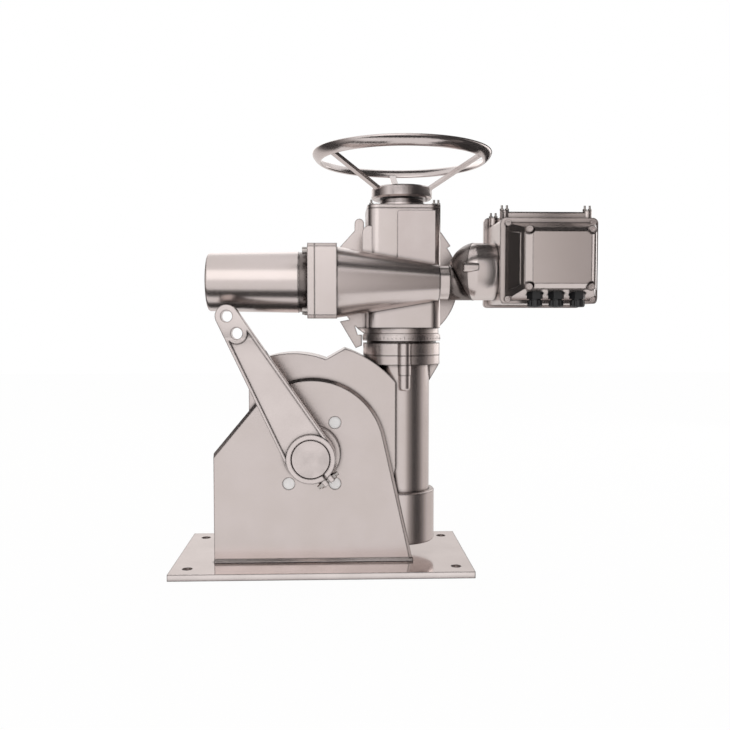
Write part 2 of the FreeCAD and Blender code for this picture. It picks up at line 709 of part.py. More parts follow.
def housing_fins(x0, x1):
    """Webs at the drum's upper left and right, and a strut at lower left that ends in a small foot."""
    upper_left = fin([(x0 - 22, motor_z + 105), (x0 - 50, motor_z + 74), (x0 - 24, motor_z + 50),
                      (x0 - 10, motor_z + 80)])
    upper_right = fin([(x1 + 10, motor_z + 103), (x1 + 29, motor_z + 76), (x1 + 4, motor_z + 60),
                       (x1 - 8, motor_z + 95)])
    strut = fin([(x0 - 51, motor_z - 71), (x0 - 20, motor_z - 123), (x0 - 8, motor_z - 118),
                 (x0 - 8, motor_z - 97), (x0 - 16, motor_z - 97), (x0 - 26, motor_z - 66)])
    return [upper_left, upper_right, strut]


def housing():
    x0 = worm_x - housing_half_x
    x1 = worm_x + housing_half_x
    body = box(x0, x1, -housing_half_y, housing_half_y, spacer_top_z, housing_top_z)
    body = round_edges(body, housing_corner_r, "Z")
    under_drum = cyl("Z", tube_flange_r + adapter_boss_r + 2, motor_z - drum_r - 50, spacer_top_z, worm_x, 0)
    drum = cyl("Y", drum_r, drum_front_y, drum_back_y, worm_x - 6, motor_z + 4).cut(under_drum)
    boss = box(x0 - 10, x0 + 16, -housing_half_y + 4, -housing_half_y + 30, motor_z, motor_z + 92)
    boss = join([boss, cyl("Y", 13, -housing_half_y + 4, -housing_half_y + 30, x0 + 3, motor_z + 92)])
    lug = join([box(x0 - 22, x0 - 4, drum_front_y, drum_front_y + fin_thick, motor_z + 60, motor_z + 119),
                cyl("Y", 9, drum_front_y, drum_front_y + fin_thick, x0 - 13, motor_z + 119)])
    body = body.cut(cyl("Y", drum_r + part_gap, drum_back_y, 200, worm_x - 6, motor_z + 4))
    body = join([body, drum, boss, lug] + housing_fins(x0, x1))
    body = body.cut(drive_cone(slip))
    body = body.cut(cyl("X", neck_r + 3, cone_end_x, neck_end_x, motor_y, motor_z))
    pocket = cyl("Y", drum_r - 12, drum_back_y - 14, drum_back_y, worm_x - 6, motor_z + 4)
    pocket = pocket.cut(cyl("Z", wheel_room_r + 6, 0, 900, worm_x, 0))
    pocket = pocket.cut(box(-100, 400, 0, 200, 300, spacer_top_z + 12))
    body = body.cut(pocket)
    body = body.cut(cyl("Z", sleeve_bearing_r, spacer_top_z - 1, housing_top_z + 1, worm_x, 0))
    body = body.cut(cyl("Z", wheel_room_r, motor_z - 30, motor_z + 30, worm_x, 0))
    cover = cyl("Y", drum_r, drum_back_y, drum_back_y + drum_cover_thick, worm_x - 6, motor_z + 4)
    cover = cover.makeChamfer(3, [e for e in cover.Edges if e.Curve.TypeId == "Part::GeomCircle"
                                  and e.Vertexes[0].Point.y > drum_back_y + 1])
    cover = cover.cut(under_drum)
    screws = []
    for i in range(7):
        x, z = polar(drum_r - 6, 40 * i - 30, worm_x - 6, motor_z + 4)
        screws.append(cap_screw("Y", 4.5, 2.5, drum_back_y + drum_cover_thick - 4.5, 4.5, 16, x, z, 1))
        cover = cut_all(cover, [cyl("Y", 4.6, drum_back_y + drum_cover_thick - 4.5, 200, x, z),
                                cyl("Y", 2.5 + slip, drum_back_y - 1, 200, x, z)])
        body = body.cut(cyl("Y", 2.5 + slip, drum_back_y - 12, drum_back_y + 1, x, z))
    name = box(worm_x - 13, worm_x - 13 + name_width, -housing_half_y - name_thick, -housing_half_y,
               housing_top_z - 5 - name_height, housing_top_z - 5)
    name = round_edges(name, 4, "Y").cut(drive_cone(part_gap))
    name = name.cut(box(x1 - housing_corner_r + 8, x1 + 1, -200, 0, 0, 900))
    top = box(x0, x1, -housing_half_y, housing_half_y, housing_top_z, housing_top_z + top_cover_thick)
    top = round_edges(top, housing_corner_r, "Z")
    top = top.cut(cyl("Z", sleeve_bearing_r - 10, housing_top_z - 1, housing_top_z + 20, worm_x, 0))
    seat = housing_top_z + top_cover_thick
    studs = []
    for x in (x0 + 7, x1 - 13, x1 - 5):
        for y in (-housing_half_y + 12, housing_half_y - 12):
            studs.append(slim_stud(x, y, seat))
            hole = cyl("Z", slim_stud_r + slip, seat - 16, seat + 1, x, y)
            top = top.cut(hole)
            body = body.cut(hole)
    cap_low = housing_top_z + top_cover_thick
    cap = join([cyl("Z", 48, cap_low, cap_low + 8, worm_x, 0), cyl("Z", 42, cap_low, hub_low_z - 2, worm_x, 0)])
    cap = cap.cut(cyl("Z", hand_shaft_r + running, cap_low - 1, hub_low_z, worm_x, 0))
    return {"main_housing": body, "drum_cover": cover, "drum_cover_screws": Part.makeCompound(screws),
            "name_plate": name, "top_cover": top, "studs": studs,
            "hand_shaft_cap": cap}


def drive_wheel():
    """Worm wheel on the drive sleeve, meshing on its front side."""
    tip_r = drive_pitch_r + drive_module
    pitch = math.pi * drive_module
    wheel = cyl("Z", tip_r, -drive_half_face, drive_half_face, 0, 0)
    cutter = gap_cutter(drive_pitch_r, pitch, drive_module, 1.25 * drive_module, drive_half_face,
                        lead_deg(drive_module, drive_worm_r))
    cutters = []
    for i in range(drive_teeth):
        tool = cutter.copy()
        tool.rotate(Vector(0, 0, 0), Vector(0, 0, 1), -90 + i * 360.0 / drive_teeth)
        cutters.append(tool)
    wheel = wheel.cut(Part.makeCompound(cutters))
    wheel = wheel.cut(cyl("Z", sleeve_r + slip, -100, 100, 0, 0))
    wheel.translate(Vector(worm_x, 0, motor_z))
    return wheel


def drive_stage():
    sleeve_low = spacer_top_z - 18
    sleeve_high = housing_top_z - 22
    sleeve = ring("Z", sleeve_r, worm_journal_r + slip, sleeve_low, sleeve_high, worm_x, 0)
    dog = sleeve_high - 12
    sleeve = sleeve.cut(box(worm_x - 60, worm_x + 60, -5, 5, dog, sleeve_high + 1))
    bearings = [ring("Z", sleeve_bearing_r, sleeve_r + running, spacer_top_z + 4, spacer_top_z + 18, worm_x, 0),
                ring("Z", sleeve_bearing_r, sleeve_r + running, sleeve_high - 30, sleeve_high - 16, worm_x, 0)]
    hand = cyl("Z", hand_shaft_r, sleeve_high - 40, hub_high_z - 4, worm_x, 0)
    cross = box(worm_x - sleeve_r + 2, worm_x + sleeve_r - 2, -5 + part_gap, 5 - part_gap,
                dog + 1, sleeve_high + 6)
    hand = join([hand, cross])
    pitch = math.pi * drive_module
    half = pitch * drive_turns / 2
    coil = thread(pitch, drive_worm_r, drive_module, 1.25 * drive_module, drive_turns, pitch / 2 - backlash * 0.7)
    coil.translate(Vector(0, 0, -half))
    root_r = drive_worm_r - 1.25 * drive_module
    worm = cyl("Z", root_r, -half - pitch / 2 - 3, half + pitch / 2 + 3, 0, 0).fuse(coil)
    worm = worm.cut(cyl("Z", rotor_shaft_r + slip, -200, 200, 0, 0))
    worm.rotate(Vector(0, 0, 0), Vector(1, 1, 1), 120)
    worm.translate(Vector(worm_x, motor_y, motor_z))
    return {"drive_sleeve": sleeve, "sleeve_bearings": Part.makeCompound(bearings), "drive_wheel": drive_wheel(),
            "handwheel_shaft": hand, "drive_worm": worm}


def motor():
    end = motor_root_x
    inner_r = motor_end_r - motor_wall
    can = cone("X", motor_end_r, motor_root_r, motor_left_x, end, motor_y, motor_z)
    rims = [e for e in can.Edges if e.Curve.TypeId == "Part::GeomCircle" and e.Vertexes[0].Point.x < end - 1]
    can = can.makeFillet(5, rims)
    neck = cyl("X", motor_neck_r, end, motor_flange_x, motor_y, motor_z)
    can = join([can, neck])
    can = can.cut(cyl("X", inner_r, motor_left_x + 6, motor_flange_x + 1, motor_y, motor_z))
    flange = flange_block(motor_flange_x, flange_joint_x)
    flange = flange.cut(cyl("X", motor_bearing_r, motor_flange_x - 1, flange_joint_x + 1, motor_y, motor_z))
    joint = flange_block(flange_joint_x, cone_start_x)
    bell = join([joint, drive_cone(), cyl("X", neck_r, cone_end_x - 1, neck_end_x, motor_y, motor_z)])
    inside = join([cyl("X", cone_big_r - 12, flange_joint_x - 1, cone_start_x + 1, motor_y, motor_z),
                   cone("X", cone_big_r - 12, cone_small_r - 4.5, cone_start_x, cone_end_x - 12, motor_y, motor_z),
                   cyl("X", motor_bearing_r, cone_end_x - 20, neck_end_x + 1, motor_y, motor_z)])
    bell = bell.cut(inside)
    bell = bell.cut(cyl("Z", wheel_room_r, motor_z - 30, motor_z + 30, worm_x, 0))
    bell = bell.cut(cyl("Z", sleeve_bearing_r, 0, 900, worm_x, 0))
    screws = []
    for sy in (-1, 1):
        for sz in (-1, 1):
            y = motor_y + sy * (flange_half - 13)
            z = motor_z + sz * (flange_half - 13)
            screws.append(cap_screw("X", 6.5, 4, motor_flange_x, 9, 30, y, z, -1))
            hole = cyl("X", 4 + slip, motor_flange_x - 1, motor_flange_x + 31, y, z)
            flange = flange.cut(hole)
            bell = bell.cut(hole)
    stator_x = motor_left_x + stator_inset
    stator_end = stator_x + stator_length
    stator = ring("X", inner_r - slip, stator_bore_r, stator_x, stator_end, motor_y, motor_z)
    shaft = cyl("X", rotor_shaft_r, motor_left_x + 14, cone_end_x + 6, motor_y, motor_z)
    core = cyl("X", rotor_r, stator_x + 2, stator_end - 2, motor_y, motor_z)
    rotor = join([shaft, core])
    bearings = []
    for outer, x in ((inner_r, motor_left_x + 16), (motor_bearing_r, motor_flange_x),
                     (motor_bearing_r, cone_end_x - 8)):
        bearings.append(ring("X", outer - slip, rotor_shaft_r + running, x, x + motor_bearing_wide, motor_y, motor_z))
    return {"motor_can": can, "motor_flange": flange, "motor_screws": Part.makeCompound(screws),
            "drive_housing": bell, "motor_stator": stator, "motor_rotor": rotor,
            "rotor_bearings": Part.makeCompound(bearings)}


def rect_wire(y, x0, x1, z0, z1):
    return Part.makePolygon([Vector(x0, y, z0), Vector(x1, y, z0), Vector(x1, y, z1), Vector(x0, y, z1),
                             Vector(x0, y, z0)])


def tube_dome(r, length):
    """Round cap of base radius r that bulges towards the motor."""
    ball_r = (r ** 2 + length ** 2) / (2 * length)
    ball = Part.makeSphere(ball_r, Vector(dome_end_x - length + ball_r, motor_y, control_z))
    return ball.common(box(dome_end_x - length - 1, dome_end_x, -300, 100, 400, 700))


def control_tube():
    wall = 8.0
    neck = cyl("X", neck_r + 1.5, neck_end_x, dome_end_x, motor_y, motor_z)
    outer = tube_dome(control_tube_r, dome_length)
    straight = cyl("X", control_tube_r, dome_end_x, box_x0, motor_y, control_z)
    inner = tube_dome(control_tube_r - wall, dome_length - wall)
    bore = cyl("X", control_tube_r - wall, dome_end_x, box_x0 + 1, motor_y, control_z)
    tube = cut_all(join([neck, outer, straight]), [inner, bore])
    tube = tube.cut(cyl("X", motor_bearing_r, neck_end_x - 1, dome_end_x, motor_y, motor_z))
    lock_y = motor_y - control_tube_r + 6
    lock_z = control_z + 5
    lock = cyl("X", 8.5, dome_end_x - 25, dome_end_x + 2, lock_y, lock_z)
    lock = cut_all(lock, [outer, straight])
    return {"control_tube": tube, "tube_lock_pin": lock}


def box_screw(axis, seat, u, v, sign):
    return cap_screw(axis, box_screw_head_r, box_screw_r, seat, box_screw_head, box_screw_length, u, v, sign)


def box_screw_hole(axis, seat, u, v, sign):
    ends = sorted((seat + sign, seat - sign * (box_screw_length + 1)))
    return cyl(axis, box_screw_r + slip, ends[0], ends[1], u, v)


def corner_spots(cx, cz, half_x, half_z):
    return [(cx + sx * half_x, cz + sz * half_z) for sx in (-1, 1) for sz in (-1, 1)]


def control_box():
    w = control_wall
    body = round_edges(box(box_x0, box_x1, box_y0, box_y1, box_z0, box_z1), 6, "Y")
    body = body.cut(box(box_x0 + w, box_x1 - w, box_y0 - 1, box_y1 + 1, box_z0 + w, box_z1 - w))
    body = body.cut(cyl("X", control_tube_r - 8, box_x0 - 1, box_x0 + w + 1, motor_y, control_z))
    posts = []
    post_places = []
    for x in (box_x0 + top_ear_inset, box_x1 - top_ear_inset_right):
        for y in (box_y0 + 9, box_y1 - 9):
            post_places.append((x, y))
            posts.append(cyl("Z", 8, box_z1 - 22, box_z1, x, y))
    cx = (box_x0 + box_x1) / 2
    cz = (box_z0 + box_z1) / 2
    half_x = (box_x1 - box_x0) / 2
    half_z = (box_z1 - box_z0) / 2
    rear_places = corner_spots(cx, cz, half_x - 9, half_z - 11)
    posts += [cyl("Y", 8, box_y1 - 24, box_y1, x, z) for x, z in rear_places]
    body = join([body] + posts)
    top = box(box_x0 + 13, box_x1 - 21, box_y0 + 3, box_y1 - 3, box_z1, box_z1 + 12)
    ears = [cyl("Z", 8, box_z1, box_z1 + 16, x, y) for x, y in post_places]
    strips = [box(box_x0 + top_ear_inset, box_x1 - top_ear_inset_right, y - 6, y + 6, box_z1, box_z1 + 8)
              for y in (box_y0 + 9, box_y1 - 9)]
    top = join([top] + ears + strips)
    screws = []
    studs = []
    for x, y in post_places:
        for dx in (-4.5, 4.5):
            studs.append(slim_stud(x + dx, y, box_z1 + 16))
            top = top.cut(cyl("Z", slim_stud_r + slip, box_z1, box_z1 + 17, x + dx, y))
    flange_y = box_y0 - 6
    fx0, fx1, fz0, fz1 = box_x0 - 2, box_x1 - 1, box_z0, box_z1 + 2
    flange = round_edges(box(fx0, fx1, flange_y, box_y0, fz0, fz1), 10, "Y")
    dome = Part.makeLoft([rect_wire(flange_y, box_x0 + 8, box_x1 - 4, box_z0 + 6, box_z1 - 7),
                          rect_wire(hood_y, hood_x0, hood_x1, hood_z0, hood_z1)], True, True)
    hollow = Part.makeLoft([rect_wire(box_y0 + 1, box_x0 + 14, box_x1 - 10, box_z0 + 12, box_z1 - 13),
                            rect_wire(hood_y - 1, hood_x0 + 8, hood_x1 - 8, hood_z0 + 8, hood_z1 - 8)], True, True)
    seats = []
    gland_places = [gland_first_x + i * gland_pitch for i in range(3)]
    pockets = []
    for x in gland_places:
        seats.append(cyl("Z", gland_r + 3, gland_seat_z, hood_z0 + 7, x, gland_y))
        pockets.append(cyl("Z", gland_r + 1.5, gland_seat_z - 30, gland_seat_z, x, gland_y))
    hood = join([flange, dome]).cut(hollow)
    hood = cut_all(join([hood] + seats), pockets)
    panel_y = hood_y - cover_base
    cover = round_edges(box(hood_x0 - 1, hood_x1 + 1, panel_y, hood_y, hood_z0 - 1, hood_z1 + 1), 9, "Y")
    panel = Part.makeLoft([rect_wire(panel_y, hood_x0 + 1, hood_x1 - 1, hood_z0 + 1, hood_z1 - 1),
                           rect_wire(cover_y, hood_x0 + panel_bevel, hood_x1 - panel_bevel + 4,
                                     hood_z0 + panel_bevel - 3, hood_z1 - panel_bevel + 4)], True, True)
    cover = join([cover, panel])
    screw_seat = panel_y - 2
    for x, z in corner_spots(cx, cz, half_x - 11, half_z - 8):
        screws.append(box_screw("Y", flange_y, x, z, -1))
        hole = box_screw_hole("Y", flange_y, x, z, -1)
        hood = cut_all(hood, [cyl("Y", box_screw_head_r + part_gap, flange_y - 60, flange_y, x, z), hole])
        body = body.cut(hole)
    hx = (hood_x0 + hood_x1) / 2
    hz = (hood_z0 + hood_z1) / 2
    for x, z in corner_spots(hx, hz, (hood_x1 - hood_x0) / 2 - 7, (hood_z1 - hood_z0) / 2 - 4):
        cover = cover.cut(cyl("Y", box_screw_head_r + 3.5, cover_y - 1, panel_y, x, z))
        boss = cyl("Y", box_screw_head_r + 2, screw_seat, panel_y, x, z)
        cover = join([cover, boss])
        screws.append(box_screw("Y", screw_seat, x, z, -1))
        hole = box_screw_hole("Y", screw_seat, x, z, -1)
        cover = cover.cut(hole)
        hood = hood.cut(hole)
    back = round_edges(box(box_x0 - 7, box_x1 + 6, box_y1, box_y1 + rear_plate_thick, box_z0 - 5, box_z1 + 17), 7, "Y")
    for x, z in rear_places:
        screws.append(box_screw("Y", box_y1 + rear_plate_thick, x, z, 1))
        hole = box_screw_hole("Y", box_y1 + rear_plate_thick, x, z, 1)
        back = back.cut(hole)
        body = body.cut(hole)
    glands = []
    nuts = []
    for x in gland_places:
        stem = cyl("Z", 8, gland_seat_z - 1, gland_seat_z + 14, x, gland_y)
        hexagon = hex_prism(2 * gland_r - 2, gland_hex_z, gland_seat_z, "Z", x, gland_y)
        lower = cyl("Z", 10, gland_hex_z - 7, gland_hex_z, x, gland_y)
        gland = join([stem, hexagon, lower]).cut(cyl("Z", 6, gland_seat_z - 40, gland_seat_z + 20, x, gland_y))
        glands.append(gland)
        nut = cyl("Z", gland_r, gland_hex_z - 14, gland_hex_z - 2, x, gland_y)
        tips = [e for e in nut.Edges if e.Curve.TypeId == "Part::GeomCircle"
                and e.Vertexes[0].Point.z < gland_hex_z - 13]
        nut = nut.makeFillet(3, tips).cut(cyl("Z", 10 + slip, gland_hex_z - 7, gland_hex_z, x, gland_y))
        nut = nut.cut(cyl("Z", 6, gland_hex_z - 30, gland_hex_z, x, gland_y))
        nuts.append(nut)
        hood = hood.cut(cyl("Z", 8 + slip, gland_seat_z - 1, gland_seat_z + 20, x, gland_y))
    board = box(box_x0 + 20, box_x1 - 20, box_y1 - 14, box_y1 - 12, box_z0 + 18, box_z1 - 24)
    stand_offs = [cyl("Y", 4, box_y1 - 12, box_y1, x, z)
                  for x, z in corner_spots(cx, cz - 3, (box_x1 - box_x0) / 2 - 26, (box_z1 - box_z0) / 2 - 28)]
    relays = [box(cx - 48 + 26 * i, cx - 30 + 26 * i, box_y1 - 32, box_y1 - 14, cz - 4, cz + 26) for i in range(4)]
    board = join([board] + relays)
    rail = box(box_x0 + 30, box_x1 - 30, box_y1 - 34, box_y1 - 14, cz - 44, cz - 28)
    for i in range(10):
        x = box_x0 + 36 + 11 * i
        rail = rail.cut(cyl("Y", 3, box_y1 - 35, box_y1 - 26, x, cz - 36))
    return {"control_body": body, "control_top_cover": top, "control_hood": hood,
            "control_front_cover": cover, "control_rear_plate": back,
            "studs": studs, "control_screws": Part.makeCompound(screws), "gland_bodies": Part.makeCompound(glands),
            "gland_nuts": Part.makeCompound(nuts), "circuit_board": board, "terminal_strip": rail,
            "board_stand_offs": Part.makeCompound(stand_offs)}


def handwheel():
    tilt = math.radians(rim_tilt_deg)
    centre = Vector(worm_x + rim_r, 0, rim_z)
    major = Vector(math.sin(tilt), 0, math.cos(tilt))
    ellipse = Part.Ellipse(centre.add(major * rim_long), centre.add(Vector(math.cos(tilt), 0, -math.sin(tilt))
                                                                   * rim_short), centre)
    face = Part.Face(Part.Wire([ellipse.toShape()]))
    rim = face.revolve(Vector(worm_x, 0, 0), Vector(0, 0, 1), 360)
    rim = Part.Solid(rim.Shells[0]) if rim.ShapeType != "Solid" else rim
    hub = cyl("Z", hub_r, hub_low_z, hub_high_z, worm_x, 0)
    hub = hub.makeChamfer(3, [e for e in hub.Edges if e.Curve.TypeId == "Part::GeomCircle"])
    hub = hub.cut(cyl("Z", hub_r - 9, hub_low_z + 9, hub_high_z + 1, worm_x, 0))
    hub = join([hub, cyl("Z", hand_shaft_r + 10, hub_low_z + 5, hub_high_z - 4, worm_x, 0)])
    hub = hub.cut(cyl("Z", hand_shaft_r + slip, hub_low_z - 1, hub_high_z + 1, worm_x, 0))
    nut = hex_prism(30, hub_high_z - 4, hub_high_z + 4, "Z", worm_x, 0)
    spokes = []
    inner = Vector(hub_r - 3, 0, hub_high_z - 5)
    outer = Vector(rim_r - 1, 0, rim_z - 3)
    run = outer.sub(inner)
    for i in range(3):
        bar = Part.makeBox(run.Length, spoke_width, spoke_thick, Vector(0, -spoke_width / 2, -spoke_thick / 2))
        bar.rotate(Vector(0, 0, 0), Vector(0, 1, 0), -math.degrees(math.atan2(run.z, run.x)))
        bar.translate(inner)
        bar.rotate(Vector(0, 0, 0), Vector(0, 0, 1), first_spoke_deg + 120 * i)
        bar.translate(Vector(worm_x, 0, 0))
        spokes.append(bar.cut(hub).cut(rim))
    return {"handwheel_rim": rim, "handwheel_spokes": Part.makeCompound(spokes), "handwheel_hub": hub,
            "handwheel_nut": nut}


def build():
    nodes = {}
    studs = []
    for group in (foot_and_stand, gear_case, output_stage, worm_stage, adapter, housing, drive_stage, motor,
                  control_tube, control_box, handwheel):
        pieces = group()
        studs += pieces.pop("studs", [])
        nodes.update(pieces)
    nodes["cover_studs"] = Part.makeCompound(studs)
    return nodes


os.makedirs("parts", exist_ok=True)
for name, shape in build().items():
    shape.exportStep(os.path.join("parts", name + ".step"))
    print(name, len(shape.Solids), round(shape.Volume), shape.isValid())
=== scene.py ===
import math
import bmesh
import bpy
from mathutils import Matrix, Vector


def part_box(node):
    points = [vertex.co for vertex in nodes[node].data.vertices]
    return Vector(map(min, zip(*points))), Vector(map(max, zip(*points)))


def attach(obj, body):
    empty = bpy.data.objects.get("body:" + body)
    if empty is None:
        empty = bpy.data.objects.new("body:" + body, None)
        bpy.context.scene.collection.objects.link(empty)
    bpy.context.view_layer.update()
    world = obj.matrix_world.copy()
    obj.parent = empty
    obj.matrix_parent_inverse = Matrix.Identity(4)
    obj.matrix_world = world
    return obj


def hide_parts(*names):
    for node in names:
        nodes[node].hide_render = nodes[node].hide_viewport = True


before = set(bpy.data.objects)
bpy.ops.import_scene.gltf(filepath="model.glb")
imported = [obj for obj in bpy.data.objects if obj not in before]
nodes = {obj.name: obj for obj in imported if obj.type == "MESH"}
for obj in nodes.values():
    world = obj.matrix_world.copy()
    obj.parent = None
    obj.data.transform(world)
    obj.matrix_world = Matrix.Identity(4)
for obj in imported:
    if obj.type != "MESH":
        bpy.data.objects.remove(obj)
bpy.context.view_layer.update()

print("frame loaded,", len(nodes), "nodes")


# Colour and node helpers

def linear(hexText, alpha=1.0):
    parts = [int(hexText[i:i + 2], 16) / 255 for i in (1, 3, 5)]
    return [c / 12.92 if c <= 0.04045 else ((c + 0.055) / 1.055) ** 2.4 for c in parts] + [alpha]


def mm(value):
    return value / 1000.0


def addNode(tree, kind, settings=None, links=None):
    node = tree.nodes.new(kind)
    for name, value in (settings or {}).items():
        if isinstance(name, str) and hasattr(node, name):
            setattr(node, name, value)
        else:
            node.inputs[name].default_value = value
    for name, source in (links or {}).items():
        tree.links.new(source, node.inputs[name])
    return node


def newMaterial(name):
    material = bpy.data.materials.new(name)
    material.use_nodes = True
    tree = material.node_tree
    tree.nodes.clear()
    return material, tree, addNode(tree, "ShaderNodeOutputMaterial")


def setRamp(node, stops):
    ramp = node.color_ramp
    while len(ramp.elements) < len(stops):
        ramp.elements.new(0.5)
    for element, (place, colour) in zip(ramp.elements, stops):
        element.position = place
        element.color = colour


# Finishes

coatSizes = {
    # edgeRound also sets how wide the painted shade line along every edge is
    "edgeRound": mm(3.2),      # paint and machining leave every edge a little round
    "mottle": mm(80.0),        # slow change of tone over one casting
    "grain": mm(3.0),          # metal flake clouds, drawn coarser than the real 0.3 mm so they show
    "occlusionShadeReach": mm(11.0),     # how far the painted shade in seams, crevices and between parts reaches
}


def edgeShadeMask(tree, radius):
    # 0 on open faces, 1 where a face turns over an edge: the painted shade line along the edges goes there
    rounded = addNode(tree, "ShaderNodeBevel", {"samples": 4, "Radius": radius})
    plain = addNode(tree, "ShaderNodeNewGeometry")
    match = addNode(tree, "ShaderNodeVectorMath", {"operation": "DOT_PRODUCT"},
                    {0: rounded.outputs["Normal"], 1: plain.outputs["Normal"]})
    edgeShade = addNode(tree, "ShaderNodeMapRange", {"From Min": 0.985, "From Max": 0.94},
                   {"Value": match.outputs["Value"]})
    return rounded, edgeShade


def metallicCoat(name, lightHex, darkHex, roughness,
                 edgeRound=coatSizes["edgeRound"], sheenSpread=0.04):
    # metallic silver two-pack enamel, sprayed: wide soft highlights, flake clouds, painted shade as thin dark
    # lines along every edge and painted shade in seams and crevices from ambient occlusion
    material, tree, output = newMaterial(name)
    place = addNode(tree, "ShaderNodeTexCoord")
    mottle = addNode(tree, "ShaderNodeTexNoise", {"Scale": 1 / coatSizes["mottle"], "Detail": 3.0},
                     {"Vector": place.outputs["Object"]})
    tone = addNode(tree, "ShaderNodeValToRGB", links={"Fac": mottle.outputs["Fac"]})
    setRamp(tone, [(0.36, linear(darkHex)), (0.64, linear(lightHex))])
    # painted shade: ambient occlusion darkens the paint colour in seams, crevices and between parts
    occlusionShade = addNode(tree, "ShaderNodeAmbientOcclusion", {"samples": 6, "Distance": coatSizes["occlusionShadeReach"]})
    occlusionShadeTone = addNode(tree, "ShaderNodeValToRGB", links={"Fac": occlusionShade.outputs["AO"]})
    setRamp(occlusionShadeTone, [(0.3, linear("#332c2b")), (0.8, linear("#ffffff"))])
    occlusionShaded = addNode(tree, "ShaderNodeMix", {"data_type": "RGBA", "blend_type": "MULTIPLY", 0: 1.0},
                     {6: tone.outputs["Color"], 7: occlusionShadeTone.outputs["Color"]})
    rounded, edgeShade = edgeShadeMask(tree, edgeRound)
    # painted shade: a dark line drawn along every edge
    colour = addNode(tree, "ShaderNodeMix", {"data_type": "RGBA", 7: linear("#2a2422")},
                     {0: edgeShade.outputs["Result"], 6: occlusionShaded.outputs[2]})
    flake = addNode(tree, "ShaderNodeTexNoise", {"Scale": 1 / coatSizes["grain"], "Detail": 3.0},
                    {"Vector": place.outputs["Object"]})
    sheen = addNode(tree, "ShaderNodeMapRange",
                    {"To Min": roughness - sheenSpread, "To Max": roughness + sheenSpread},
                    {"Value": flake.outputs["Fac"]})
    shader = addNode(tree, "ShaderNodeBsdfPrincipled", {"Metallic": 0.94},
                     {"Base Color": colour.outputs[2], "Roughness": sheen.outputs["Result"],
                      "Normal": rounded.outputs["Normal"]})
    tree.links.new(shader.outputs["BSDF"], output.inputs["Surface"])
    return material


def turnedSteel(name, hexText, roughness, lineWidth=mm(0.6)):
    # zinc-plated or ground steel: bright, with fine turning lines that stretch the highlight
    material, tree, output = newMaterial(name)
    place = addNode(tree, "ShaderNodeTexCoord")
    lines = addNode(tree, "ShaderNodeTexNoise", {"Scale": 1 / lineWidth, "Detail": 1.0},
                    {"Vector": place.outputs["Object"]})
    stain = addNode(tree, "ShaderNodeTexNoise", {"Scale": 1 / mm(25.0), "Detail": 3.0},
                    {"Vector": place.outputs["Object"]})
    tone = addNode(tree, "ShaderNodeValToRGB", links={"Fac": stain.outputs["Fac"]})
    base = linear(hexText)
    setRamp(tone, [(0.3, [c * 0.8 for c in base[:3]] + [1.0]), (0.7, base)])
    sheen = addNode(tree, "ShaderNodeMapRange", {"To Min": roughness - 0.05, "To Max": roughness + 0.08},
                    {"Value": lines.outputs["Fac"]})
    rounded = addNode(tree, "ShaderNodeBevel", {"samples": 4, "Radius": mm(0.6)})
    bump = addNode(tree, "ShaderNodeBump", {"Strength": 0.3, "Distance": mm(0.01)},
                   {"Height": lines.outputs["Fac"], "Normal": rounded.outputs["Normal"]})
    shader = addNode(tree, "ShaderNodeBsdfPrincipled", {"Metallic": 1.0},
                     {"Base Color": tone.outputs["Color"], "Roughness": sheen.outputs["Result"],
                      "Normal": bump.outputs["Normal"]})
    tree.links.new(shader.outputs["BSDF"], output.inputs["Surface"])
    return material


def mouldedPolymer(name, hexText, roughness, ior, shade=0.85, texture=mm(1.2), depth=mm(0.03)):
    # injection-moulded polymer: even colour, a fine spark-eroded texture breaks the highlight
    material, tree, output = newMaterial(name)
    place = addNode(tree, "ShaderNodeTexCoord")
    grain = addNode(tree, "ShaderNodeTexNoise", {"Scale": 1 / texture, "Detail": 3.0},
                    {"Vector": place.outputs["Object"]})
    tone = addNode(tree, "ShaderNodeValToRGB", links={"Fac": grain.outputs["Fac"]})
    base = linear(hexText)
    setRamp(tone, [(0.3, [c * shade for c in base[:3]] + [1.0]), (0.7, base)])
    rounded = addNode(tree, "ShaderNodeBevel", {"samples": 4, "Radius": mm(0.8)})
    bump = addNode(tree, "ShaderNodeBump", {"Strength": 0.4, "Distance": depth},
                   {"Height": grain.outputs["Fac"], "Normal": rounded.outputs["Normal"]})
    shader = addNode(tree, "ShaderNodeBsdfPrincipled", {"Roughness": roughness, "IOR": ior},
                     {"Base Color": tone.outputs["Color"], "Normal": bump.outputs["Normal"]})
    tree.links.new(shader.outputs["BSDF"], output.inputs["Surface"])
    return material


# one silver paint on all castings and plates, set lighter on the lever and the foot plate, with its polish
# set per part
silverEnamel = metallicCoat("silverEnamelSprayed", "#cfc4c1", "#cbc0bc", 0.25)
leverEnamel = metallicCoat("silverEnamelForgedSteel", "#dbd0cd", "#d3c8c5", 0.24)
footEnamel = metallicCoat("silverEnamelRolledPlate", "#e2d8d5", "#dad0cd", 0.12)
handwheelEnamel = metallicCoat("silverEnamelPolished", "#d4cac7", "#cbc0bd", 0.2, mm(0.5), 0.01)
